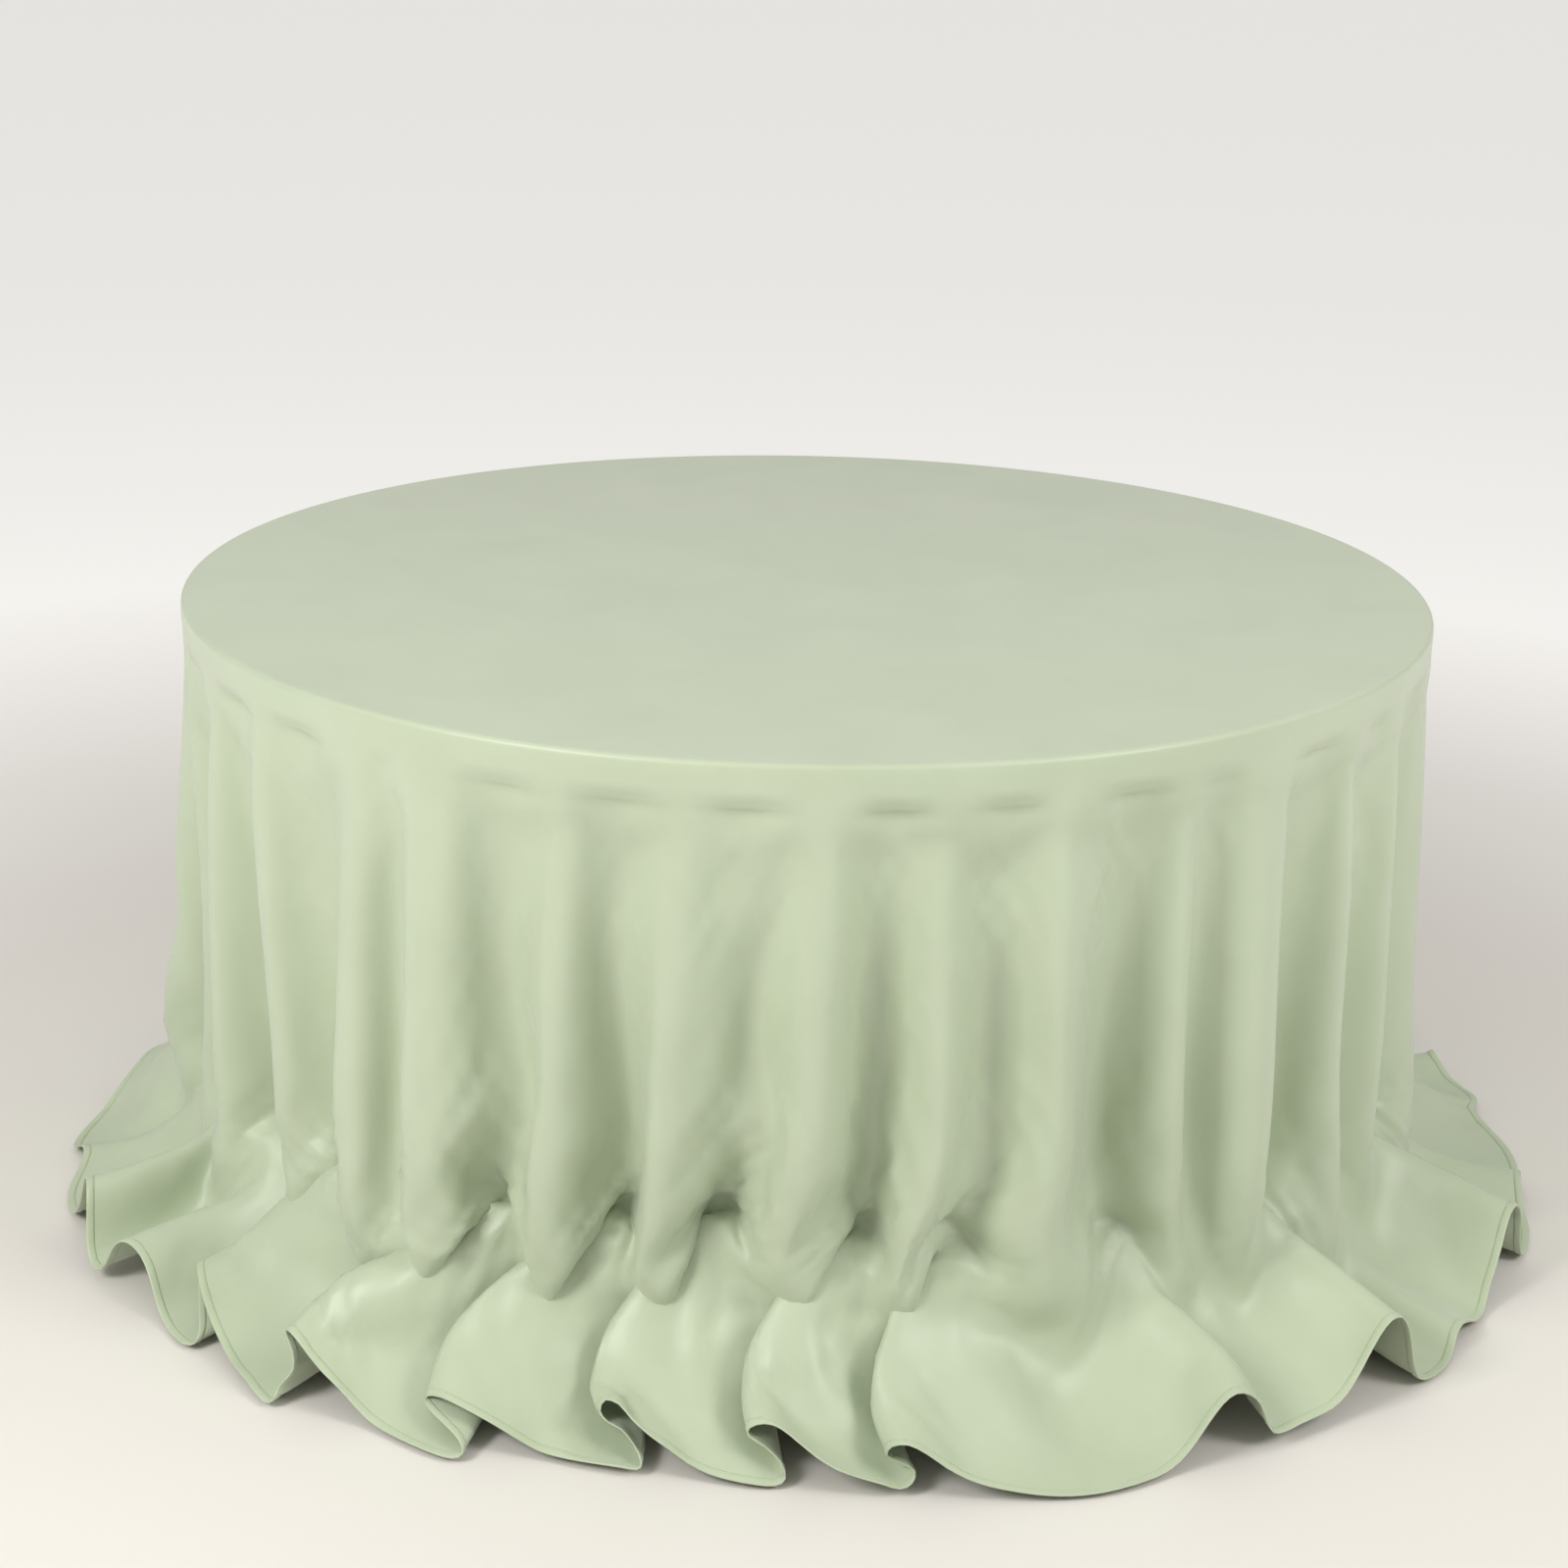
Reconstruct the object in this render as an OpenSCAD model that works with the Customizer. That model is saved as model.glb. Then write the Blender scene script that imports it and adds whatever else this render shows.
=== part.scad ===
// Round folding table under a floor-length round cloth.
// Millimetres, +Z up, origin on the floor under the centre of the table.

/* [Table] */
// Diameter of the round table over its edge band
table_d = 1524; // [1100:1:1900]
// Height of the table top above the floor
table_h = 762; // [620:1:950]
// Thickness of the plywood top
top_t = 19; // [15:0.5:25]
// Height of the edge band that covers the rim
band_h = 35; // [30:1:60]
// Thickness of the edge band
band_t = 4; // [3:0.5:8]
// Radius of the edge band's rounded upper and lower corners
band_round = 2.5; // [1:0.1:3]
// Radial width of the hardwood segments under the rim
rim_w = 60; // [40:1:90]
// Number of hardwood rim segments
rim_parts = 8; // [6:1:12]

/* [Leg frames] */
// Outer diameter of the steel tubes
tube_d = 25.4; // [19:0.1:32]
// Wall of the steel tubes
tube_wall = 1.5; // [1:0.1:3]
// Distance of each pivot from the table's centre line
pivot_y = 400; // [380:1:430]
// Distance from the underside of the top down to the first pivot
pivot_drop = 38; // [34:1:50]
// How much lower the second frame hangs, so that it folds under the first
riser_h = 34; // [30:1:45]
// Half distance between the legs of the first frame
leg_x_a = 300; // [280:1:340]
// Half distance between the legs of the second frame
leg_x_b = 240; // [200:1:245]
// Outward lean of the legs, in degrees
splay = 5; // [3:0.5:8]
// Distance along the leg from the pivot to the crossbar
crossbar_drop = 280; // [240:1:300]

/* [Feet] */
// Wall thickness of the rubber foot cap
foot_wall = 3.2; // [2:0.1:5]
// Length of the rubber foot cap along the leg
foot_len = 42; // [25:1:60]
// Thickness of rubber under the end of the tube
foot_floor = 6; // [4:0.5:10]

/* [Brackets and stays] */
// Thickness of the bracket steel
plate_t = 4; // [3:0.5:5]
// Distance of the bracket's ear outside the leg's centre line
ear_out = 22; // [20:0.5:28]
// Distance inboard of the pivot where the stay's pin seats
catch_inboard = 340; // [320:1:350]
// Sideways distance of the stays from the centre line
stay_x = 60; // [50:1:90]
// Thickness of the stay bar
stay_t = 6; // [5:0.5:8]
// Depth of the stay bar
stay_w = 20; // [16:0.5:22]
// Diameter of the stay's locking pin
pin_d = 8; // [6:0.5:8]
// Diameter of the wood screws
screw_d = 4.5; // [4:0.5:5]
// Diameter of the screw heads
screw_head_d = 9; // [8:0.5:10]

/* [Cloth] */
// Length of cloth that lies on the floor beyond the drop
pool = 152.5; // [100:0.5:300]
// Thickness of the cloth, with the air that its weave and creases hold
cloth_t = 2; // [1.7:0.1:3]
// Number of folds round the skirt
folds = 24; // [16:4:32]
// How far a fold stands out at the floor
fold_depth = 28; // [10:1:45]
// Radius of the turn where the skirt meets the floor
turn_r = 24; // [15:1:40]
// How far the lobes of the hem reach past its hollows
lobe = 14; // [5:1:25]
// Height of the buckles in the cloth on the floor
buckle_h = 20; // [8:1:30]
// Length of floor cloth that the buckles take up
buckle_take_up = 15; // [5:1:40]
// Width of the sewn hem
hem_w = 9; // [6:0.5:15]

/* [Hidden] */

$fn = 96;
// clearances
run_gap = 0.1;      // round a tube that turns in its hole
weld_gap = 0.1;     // between coped tubes
seat_gap = 0.1;     // between parts that are screwed or pushed together
stop_gap = 0.4;     // between a leg and its stop flange
cloth_gap = 0.5;    // between the cloth and the table
hem_gap = 0.2;      // between the cloth's edge and the hem
eps = 1;            // how far a cut runs past the face that it opens

// table
table_r = table_d / 2;
top_r = table_r - band_t;
under_z = table_h - top_t;
rim_h = band_h - top_t;

// leg frames: heights of the two pivots, and what follows from the lean
tube_r = tube_d / 2;
pivot_z_a = under_z - pivot_drop;
pivot_z_b = pivot_z_a - riser_h;
tube_end_out = ear_out + 8;
fold_angle = 90 + splay;
foot_d = tube_d + 2 * foot_wall + 2 * seat_gap;

// stay: from the crossbar up to its catch, level with the pivot
stay_dy = catch_inboard + crossbar_drop * sin(splay);
stay_dz = crossbar_drop * cos(splay);
stay_len = sqrt(stay_dy * stay_dy + stay_dz * stay_dz);
stay_rise = atan2(stay_dz, stay_dy);
swing_share = stay_rise / fold_angle;
exit_y = stay_dz + swing_share * stay_len * sin(stay_rise);
exit_z = -crossbar_drop * sin(splay) - swing_share * stay_len * cos(stay_rise);
exit_angle = atan2(exit_z, exit_y);
stay_collar_d = tube_d + 10;
slot_w = pin_d + 3;

// brackets
plate_x = 64;
plate_y = 84;
plate_mid = 8;
ear_y = 44;
ear_below = 21;
screw_x = 24;
screw_y = 32;
screw_len = 16;
screw_head_h = 3;
catch_x = stay_x - stay_t / 2 - 4 - plate_t / 2;
catch_plate = 44;
catch_below = 16;
catch_shift = 4;
catch_screw_x = 6;
catch_screw_y = 14;

// cloth
cloth_d = table_d + 2 * (table_h + pool);
steps_per_fold = 6;
around = folds * steps_per_fold;
skirt_r = table_r + cloth_gap + cloth_t;
cloth_top = table_h + cloth_gap + cloth_t;
bend_r = band_round + cloth_gap + cloth_t;
skirt_top_z = table_h - band_h;
floor_lift = 1;
turn_z = turn_r + cloth_t + floor_lift;
pool_start = skirt_r + turn_r;
pool_end = skirt_r + fold_depth / 2 + pool - buckle_take_up - hem_w;
hem_h = 1.5 * cloth_t;
thread_w = 0.8;
thread_h = 0.5;

// ---------------------------------------------------------------- placing

// stands the children at frame A's pivot, or turned round at frame B's
module at_pivot(frame) {
  if (frame == "a") translate([0, -pivot_y, pivot_z_a]) children();
  if (frame == "b") translate([0, pivot_y, pivot_z_b]) rotate([0, 0, 180]) children();
}

// leans the children outward about the pivot's axis
module leaned() {
  rotate([-splay, 0, 0]) children();
}

module along_x(length, d) {
  rotate([0, 90, 0]) cylinder(d = d, h = length, center = true);
}

// ---------------------------------------------------------------- table top

function bracket_holes(leg_x) = [
  for (side = [-1, 1], dx = [-screw_x, screw_x], y = [-screw_y, screw_y])
    [side * (leg_x + plate_mid) + dx, y]
];

function catch_holes() = [
  for (y = [-catch_screw_y, catch_screw_y]) [-stay_x - catch_screw_x, catch_inboard + y]
];

// pilot holes for the screws of one frame, from the seat upwards
module pilots(points) {
  for (p = points) translate([p[0], p[1], pivot_drop - eps])
    cylinder(d = screw_d + 2 * seat_gap, h = screw_len - plate_t + 2 * eps, $fn = 24);
}

module plywood_top() {
  color("burlywood") difference() {
    translate([0, 0, under_z]) cylinder(r = top_r - seat_gap, h = top_t, $fn = 240);
    at_pivot("a") pilots(concat(bracket_holes(leg_x_a), catch_holes()));
  }
}

module rim_segments() {
  part_angle = 360 / rim_parts;
  joint = 0.02;
  color("peru") for (k = [0 : rim_parts - 1])
    rotate([0, 0, k * part_angle]) translate([0, 0, under_z - rim_h - seat_gap])
      rotate_extrude(angle = part_angle - joint, $fn = 240)
        translate([top_r - rim_w, 0]) square([rim_w - seat_gap, rim_h]);
}

// quarter circle points of a rounded corner with its centre at c
function corner(c, r, from) = [for (a = [from : 15 : from + 90]) [c[0] + r * cos(a), c[1] + r * sin(a)]];

module edge_band() {
  color("dimgray") rotate_extrude($fn = 240) polygon(concat(
    [[top_r, table_h - band_h]],
    corner([table_r - band_round, table_h - band_h + band_round], band_round, -90),
    corner([table_r - band_round, table_h - band_round], band_round, 0),
    [[top_r, table_h]]
  ));
}

// ---------------------------------------------------------------- brackets

// base plate under the top, an ear round the pivot tube and a flange that stops the leg
module bracket(leg_x) {
  ear_x = leg_x + ear_out;
  stop_y = tube_r / cos(splay) + ear_below * tan(splay) + stop_gap;
  plate_z = pivot_drop - plate_t;
  difference() {
    union() {
      translate([leg_x + plate_mid - plate_x / 2, -plate_y / 2, plate_z])
        cube([plate_x, plate_y, plate_t]);
      translate([ear_x - plate_t / 2, -ear_y / 2, -ear_below])
        cube([plate_t, ear_y, plate_z + ear_below]);
      translate([leg_x - tube_r, -stop_y - plate_t, -ear_below])
        cube([ear_out + tube_r, plate_t, plate_z + ear_below]);
    }
    translate([ear_x, 0, 0]) along_x(plate_t + 2 * eps, tube_d + 2 * run_gap);
    for (dx = [-screw_x, screw_x], y = [-screw_y, screw_y])
      translate([leg_x + plate_mid + dx, y, plate_z - eps])
        cylinder(d = screw_d + 2 * seat_gap, h = plate_t + 2 * eps, $fn = 24);
  }
}

module pivot_brackets(frame, leg_x) {
  color("silver") at_pivot(frame) translate([0, 0, -seat_gap]) {
    bracket(leg_x);
    mirror([1, 0, 0]) bracket(leg_x);
  }
}

// wooden blocks that lower the second frame and its catch
module riser_blocks() {
  block_h = riser_h - 2 * seat_gap;
  color("tan") at_pivot("b") translate([0, 0, pivot_drop + seat_gap]) difference() {
    union() {
      for (side = [-1, 1])
        translate([side * (leg_x_b + plate_mid) - plate_x / 2 - 4, -plate_y / 2 - 4, 0])
          cube([plate_x + 8, plate_y + 8, block_h]);
      translate([-stay_x - catch_plate / 2 + catch_shift, catch_inboard - catch_plate / 2, 0])
        cube([catch_plate, catch_plate, block_h]);
    }
    translate([0, 0, -pivot_drop]) pilots(concat(bracket_holes(leg_x_b), catch_holes()));
  }
}

// pan head wood screw, its head under the plate and its shank going up
module wood_screw() {
  translate([0, 0, -screw_head_h - seat_gap]) cylinder(d = screw_head_d, h = screw_head_h, $fn = 24);
  translate([0, 0, -screw_head_h]) cylinder(d = screw_d, h = screw_head_h + screw_len, $fn = 24);
}

module screws(frame, points) {
  color("gainsboro") at_pivot(frame) for (p = points)
    translate([p[0], p[1], pivot_drop - plate_t - 2 * seat_gap]) wood_screw();
}

// ---------------------------------------------------------------- leg frames

function leg_len(pivot_z) = (pivot_z - foot_floor) / cos(splay);

module hollow(length, d) {
  difference() {
    along_x(length, d);
    along_x(length + 2 * eps, d - 2 * tube_wall);
  }
}

module pivot_tube(frame, leg_x) {
  color("slategray") at_pivot(frame) hollow(2 * (leg_x + tube_end_out), tube_d);
}

// one leg, coped under the pivot tube
module leg(frame, x, pivot_z) {
  color("slategray") at_pivot(frame) difference() {
    leaned() translate([x, 0, -leg_len(pivot_z)]) difference() {
      cylinder(d = tube_d, h = leg_len(pivot_z));
      translate([0, 0, -eps]) cylinder(d = tube_d - 2 * tube_wall, h = leg_len(pivot_z) + 2 * eps);
    }
    along_x(2 * (x < 0 ? -x : x) + 4 * tube_d, tube_d + 2 * weld_gap);
  }
}

// bar between the legs, coped to both
module crossbar(frame, leg_x) {
  color("slategray") at_pivot(frame) leaned() translate([0, 0, -crossbar_drop]) difference() {
    hollow(2 * leg_x, tube_d);
    for (side = [-1, 1]) translate([side * leg_x, 0, -tube_d])
      cylinder(d = tube_d + 2 * weld_gap, h = 2 * tube_d);
  }
}

// rubber caps, cut level with the floor
module foot_caps(frame, leg_x, pivot_z) {
  below = foot_d * tan(splay) + foot_floor / cos(splay);
  color([0.12, 0.12, 0.12]) at_pivot(frame) for (side = [-1, 1]) difference() {
    leaned() translate([side * leg_x, 0, -leg_len(pivot_z)]) difference() {
      translate([0, 0, -below]) cylinder(d = foot_d, h = foot_len + below);
      translate([0, 0, -seat_gap]) cylinder(d = tube_d + 2 * seat_gap, h = foot_len + eps + seat_gap);
    }
    translate([side * leg_x - foot_d, -pivot_z * tan(splay) - 2 * foot_d, -pivot_z - 2 * foot_d])
      cube([2 * foot_d, 4 * foot_d, 2 * foot_d]);
  }
}

// plastic plugs in the ends of the pivot tube
module tube_plugs(frame, leg_x) {
  plug_in = 14;
  head_t = 2.5;
  color([0.15, 0.15, 0.16]) at_pivot(frame) for (side = [0, 1]) mirror([side, 0, 0])
    translate([leg_x + tube_end_out, 0, 0]) rotate([0, 90, 0]) {
      translate([0, 0, seat_gap]) cylinder(d = tube_d, h = head_t);
      translate([0, 0, -plug_in]) cylinder(d = tube_d - 2 * tube_wall - 2 * seat_gap, h = plug_in + head_t);
    }
}

// ---------------------------------------------------------------- stays

// stands the children on the crossbar with +Y along the stay
module along_stay(frame) {
  at_pivot(frame) translate([-stay_x, -crossbar_drop * sin(splay), -crossbar_drop * cos(splay)])
    rotate([stay_rise, 0, 0]) children();
}

// flat bar with a collar that turns on the crossbar and a rounded, drilled end
module stay(frame) {
  color("lightsteelblue") along_stay(frame) difference() {
    union() {
      along_x(3 * stay_t, stay_collar_d);
      translate([-stay_t / 2, 0, -stay_w / 2]) cube([stay_t, stay_len, stay_w]);
      translate([0, stay_len, 0]) along_x(stay_t, stay_w);
    }
    along_x(3 * stay_t + 2 * eps, tube_d + 2 * run_gap);
    translate([0, stay_len, 0]) along_x(stay_t + 2 * eps, pin_d + 2 * seat_gap);
  }
}

// headed pin that drops into the catch
module stay_pin(frame) {
  reach = stay_x - catch_x + plate_t / 2 + 4;
  head_t = 3;
  color("white") along_stay(frame) translate([0, stay_len, 0]) {
    translate([-stay_t / 2 - seat_gap, 0, 0]) rotate([0, 90, 0]) cylinder(d = pin_d, h = stay_t / 2 + reach);
    translate([-stay_t / 2 - seat_gap - head_t, 0, 0]) rotate([0, 90, 0]) cylinder(d = pin_d + 4, h = head_t);
  }
}

// hanging plate with a slot that opens the way the pin leaves
module stay_catch(frame) {
  plate_z = pivot_drop - plate_t;
  color("silver") at_pivot(frame) translate([0, catch_inboard, -seat_gap]) difference() {
    union() {
      translate([-stay_x - catch_plate / 2 + catch_shift, -catch_plate / 2, plate_z])
        cube([catch_plate, catch_plate, plate_t]);
      translate([-catch_x - plate_t / 2, -catch_plate / 2, -catch_below])
        cube([plate_t, catch_plate, plate_z + catch_below]);
    }
    translate([-catch_x, 0, seat_gap]) {
      along_x(plate_t + 2 * eps, slot_w);
      rotate([exit_angle, 0, 0]) translate([-plate_t / 2 - eps, 0, -slot_w / 2])
        cube([plate_t + 2 * eps, catch_plate, slot_w]);
    }
    for (y = [-catch_screw_y, catch_screw_y]) translate([-stay_x - catch_screw_x, y, plate_z - eps])
      cylinder(d = screw_d + 2 * seat_gap, h = plate_t + 2 * eps, $fn = 24);
  }
}

// ---------------------------------------------------------------- cloth

// each row of the cloth is [radius, height, normal outwards, normal upwards, depth, buckle]
function bend_row(a) = [
  skirt_r - bend_r + bend_r * sin(a), cloth_top - bend_r + bend_r * cos(a), sin(a), cos(a), 0, 0
];
function skirt_row(f) = [
  skirt_r, skirt_top_z + (turn_z - skirt_top_z) * f, 1, 0, fold_depth * pow(f, 0.8), 0
];
function turn_row(a) = [
  skirt_r + turn_r - turn_r * cos(a), turn_z - turn_r * sin(a), cos(a), sin(a), fold_depth, 0
];
function pool_row(u) = [
  pool_start + (pool_end - pool_start) * u, floor_lift + cloth_t, 0, 1,
  fold_depth + (lobe - fold_depth) * u, buckle_h * sin(180 * u)
];
cloth_rows = concat(
  [for (a = [0 : 22.5 : 90]) bend_row(a)],
  [for (f = [0, 0.15, 0.4, 0.7, 1]) skirt_row(f)],
  [turn_row(45)],
  [for (u = [0, 0.25, 0.5, 0.75, 1]) pool_row(u)]
);

// 0 in a hollow and 1 on the crest of a fold
function crest(k) = (1 - cos(360 * k / steps_per_fold)) / 2;

function cloth_point(row, k, deep) =
  let (
    a = 360 * k / around,
    r = row[0] - deep * row[2] + row[4] * crest(k),
    z = row[1] - deep * row[3] + row[5] * crest(k)
  ) [r * cos(a), r * sin(a), z];

function next(k) = (k + 1) % around;

// two triangles from row j to the next, split the same way on both sides of the cloth
function strip(first, j, k) =
  let (
    a = first + j * around + k,
    b = first + j * around + next(k),
    c = b + around,
    d = a + around
  ) [[a, b, c], [a, c, d]];

function turned_over(faces) = [for (f = faces) [f[2], f[1], f[0]]];

// thin closed shell: outer rows, inner rows, and a band that joins them at the edge
module tablecloth() {
  last = len(cloth_rows) - 1;
  inner = around * (last + 1);
  pole = 2 * inner;
  edge = last * around;
  points = concat(
    [for (row = cloth_rows, k = [0 : around - 1]) cloth_point(row, k, 0)],
    [for (row = cloth_rows, k = [0 : around - 1]) cloth_point(row, k, cloth_t)],
    [[0, 0, cloth_top], [0, 0, cloth_top - cloth_t]]
  );
  faces = concat(
    [for (k = [0 : around - 1]) [pole, next(k), k]],
    [for (k = [0 : around - 1]) [pole + 1, inner + k, inner + next(k)]],
    [for (j = [0 : last - 1], k = [0 : around - 1]) each strip(0, j, k)],
    [for (j = [0 : last - 1], k = [0 : around - 1]) each turned_over(strip(inner, j, k))],
    [for (k = [0 : around - 1]) [edge + k, edge + next(k), inner + edge + next(k)]],
    [for (k = [0 : around - 1]) [edge + k, inner + edge + next(k), inner + edge + k]]
  );
  color("darkseagreen") polyhedron(points = points, faces = faces, convexity = 10);
}

// closed ring that follows the cloth's edge, between two offsets and two heights
module edge_ring(from, to, low, high) {
  section = [[from, low], [to, low], [to, high], [from, high]];
  points = [
    for (k = [0 : around - 1], s = section)
      let (r = pool_end + lobe * crest(k) + s[0], a = 360 * k / around) [r * cos(a), r * sin(a), s[1]]
  ];
  faces = [
    for (k = [0 : around - 1], s = [0 : 3])
      [4 * k + (s + 1) % 4, 4 * next(k) + (s + 1) % 4, 4 * next(k) + s, 4 * k + s]
  ];
  polyhedron(points = points, faces = faces, convexity = 10);
}

module hem() {
  color("darkseagreen") edge_ring(hem_gap, hem_w, 0, hem_h);
}

module hem_stitching() {
  color("honeydew") edge_ring(hem_gap + 1, hem_gap + 1 + thread_w, hem_h + 0.05, hem_h + 0.05 + thread_h);
}

// blank woven label, flat on the floor under the cloth just inside the hem
module care_label() {
  label_l = 38;
  label_w = 25;
  color("white") rotate([0, 0, 90]) translate([pool_end - label_l - 4, -label_w / 2, 0.2])
    cube([label_l, label_w, 0.5]);
}

// ---------------------------------------------------------------- pieces

plywood_top();
rim_segments();
edge_band();
pivot_brackets("a", leg_x_a);  // pivot_brackets_a
pivot_brackets("b", leg_x_b);  // pivot_brackets_b
riser_blocks();
screws("a", bracket_holes(leg_x_a));  // bracket_screws_a
screws("b", bracket_holes(leg_x_b));  // bracket_screws_b
union() { screws("a", catch_holes()); screws("b", catch_holes()); }  // catch_screws
stay_catch("a");  // stay_catch_a
stay_catch("b");  // stay_catch_b
pivot_tube("a", leg_x_a);  // pivot_tube_a
leg("a", -leg_x_a, pivot_z_a);  // leg_a_left
leg("a", leg_x_a, pivot_z_a);  // leg_a_right
crossbar("a", leg_x_a);  // crossbar_a
foot_caps("a", leg_x_a, pivot_z_a);  // foot_caps_a
tube_plugs("a", leg_x_a);  // tube_plugs_a
pivot_tube("b", leg_x_b);  // pivot_tube_b
leg("b", leg_x_b, pivot_z_b);  // leg_b_left
leg("b", -leg_x_b, pivot_z_b);  // leg_b_right
crossbar("b", leg_x_b);  // crossbar_b
foot_caps("b", leg_x_b, pivot_z_b);  // foot_caps_b
tube_plugs("b", leg_x_b);  // tube_plugs_b
stay("a");  // stay_a
stay_pin("a");  // stay_pin_a
stay("b");  // stay_b
stay_pin("b");  // stay_pin_b
tablecloth();
hem();
hem_stitching();
care_label();
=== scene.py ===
import math

import bpy
import numpy as np
from mathutils import Matrix, Vector


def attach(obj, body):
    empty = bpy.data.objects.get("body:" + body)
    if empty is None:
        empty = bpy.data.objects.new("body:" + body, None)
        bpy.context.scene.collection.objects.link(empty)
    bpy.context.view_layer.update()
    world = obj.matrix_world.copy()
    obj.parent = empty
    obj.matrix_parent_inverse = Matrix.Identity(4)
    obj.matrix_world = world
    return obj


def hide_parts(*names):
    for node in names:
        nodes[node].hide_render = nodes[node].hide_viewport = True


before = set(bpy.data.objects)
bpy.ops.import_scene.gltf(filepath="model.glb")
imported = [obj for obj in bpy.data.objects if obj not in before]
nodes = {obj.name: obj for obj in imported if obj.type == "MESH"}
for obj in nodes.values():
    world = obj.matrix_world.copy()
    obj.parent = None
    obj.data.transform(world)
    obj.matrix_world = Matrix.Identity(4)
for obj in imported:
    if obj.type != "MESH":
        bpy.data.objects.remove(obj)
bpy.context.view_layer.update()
bpy.ops.object.select_all(action="DESELECT")


# Camera: a normal lens at standing height, looking a little down on the table.
# It stands in front of the cloth and leans to one side by about one degree.

camera_data = bpy.data.cameras.new("camera")
camera_data.sensor_width = 36.0
camera_data.lens = 69.7
camera = bpy.data.objects.new("camera", camera_data)
bpy.context.scene.collection.objects.link(camera)
pitch, yaw, roll = 0.3119, -0.00647, 0.01997
ahead = Vector((
    math.sin(yaw) * math.cos(pitch),
    math.cos(yaw) * math.cos(pitch),
    -math.sin(pitch),
))
right = ahead.cross(Vector((0, 0, 1))).normalized()
above = right.cross(ahead)
camera_right = right * math.cos(roll) + above * math.sin(roll)
camera_up = above * math.cos(roll) - right * math.sin(roll)
camera.matrix_world = Matrix.Translation((0.0, -3.671, 1.682)) @ Matrix((
    (camera_right.x, camera_up.x, -ahead.x, 0),
    (camera_right.y, camera_up.y, -ahead.y, 0),
    (camera_right.z, camera_up.z, -ahead.z, 0),
    (0, 0, 0, 1),
))
bpy.context.scene.camera = camera


# Studio: a pale painted floor, two large softboxes beside the camera and a white room.
# The floor is stage, not part of the object. Farther out it is painted paler and made to glow, as
# painted light.

bpy.ops.mesh.primitive_circle_add(vertices=96, radius=45.0, fill_type="NGON", location=(0, 0, 0))
floor = bpy.context.object
floor.name = "studio_floor"
bpy.ops.object.select_all(action="DESELECT")
floor_paint = bpy.data.materials.new("floor_paint")
floor_paint.use_nodes = True
floor_nodes, floor_links = floor_paint.node_tree.nodes, floor_paint.node_tree.links
floor_shader = floor_nodes["Principled BSDF"]
floor_shader.inputs["Roughness"].default_value = 0.55
floor_shader.inputs["Specular IOR Level"].default_value = 0.25
floor_place = floor_nodes.new("ShaderNodeTexCoord")
floor_cloud = floor_nodes.new("ShaderNodeTexNoise")
floor_cloud.inputs["Scale"].default_value = 0.8
floor_cloud.inputs["Detail"].default_value = 3.0
floor_tone = floor_nodes.new("ShaderNodeValToRGB")
floor_tone.color_ramp.elements[0].color = (0.72, 0.69, 0.65, 1)
floor_tone.color_ramp.elements[1].color = (0.77, 0.745, 0.71, 1)
# Painted light: past 1.3 m from the table the floor colour is mixed towards near white, standing in
# for studio light.
floor_far = floor_nodes.new("ShaderNodeVectorMath")
floor_far.operation = "LENGTH"
floor_far_light_mask = floor_nodes.new("ShaderNodeMapRange")
floor_far_light_mask.inputs["From Min"].default_value = 1.3
floor_far_light_mask.inputs["From Max"].default_value = 3.2
floor_tone_and_far_light = floor_nodes.new("ShaderNodeMix")
floor_tone_and_far_light.data_type = "RGBA"
floor_tone_and_far_light.inputs[7].default_value = (0.98, 0.97, 0.95, 1)
floor_links.new(floor_place.outputs["Object"], floor_cloud.inputs["Vector"])
floor_links.new(floor_cloud.outputs["Fac"], floor_tone.inputs["Fac"])
floor_links.new(floor_place.outputs["Object"], floor_far.inputs[0])
floor_links.new(floor_far.outputs["Value"], floor_far_light_mask.inputs["Value"])
floor_links.new(floor_far_light_mask.outputs["Result"], floor_tone_and_far_light.inputs[0])
floor_links.new(floor_tone.outputs["Color"], floor_tone_and_far_light.inputs[6])
floor_links.new(floor_tone_and_far_light.outputs[2], floor_shader.inputs["Base Color"])
# Painted light: past 1.5 m the floor glows, more the farther it lies from the table, though it is no
# lamp.
floor_glow = floor_nodes.new("ShaderNodeMapRange")
floor_glow.inputs["From Min"].default_value = 1.5
floor_glow.inputs["From Max"].default_value = 3.2
floor_glow.inputs["To Max"].default_value = 0.18
floor_links.new(floor_far.outputs["Value"], floor_glow.inputs["Value"])
floor_links.new(floor_glow.outputs["Result"], floor_shader.inputs["Emission Strength"])
floor_shader.inputs["Emission Color"].default_value = (1.0, 0.985, 0.96, 1)
floor.data.materials.append(floor_paint)

# The camera sees the room evenly bright; the light on the cloth falls off towards the horizon.
room_bright = 0.86
room = bpy.data.worlds.new("room")
bpy.context.scene.world = room
room.use_nodes = True
room_nodes, room_links = room.node_tree.nodes, room.node_tree.links
room_nodes["Background"].inputs["Color"].default_value = (1.0, 0.985, 0.965, 1)
room_way = room_nodes.new("ShaderNodeTexCoord")
room_parts = room_nodes.new("ShaderNodeSeparateXYZ")
room_level = room_nodes.new("ShaderNodeMapRange")
room_level.inputs["To Min"].default_value = 0.22
room_level.inputs["To Max"].default_value = room_bright
room_seen = room_nodes.new("ShaderNodeLightPath")
room_shown = room_nodes.new("ShaderNodeMix")
room_shown.inputs[3].default_value = room_bright
room_links.new(room_way.outputs["Generated"], room_parts.inputs["Vector"])
room_links.new(room_parts.outputs["Z"], room_level.inputs["Value"])
room_links.new(room_level.outputs["Result"], room_shown.inputs[2])
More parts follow.
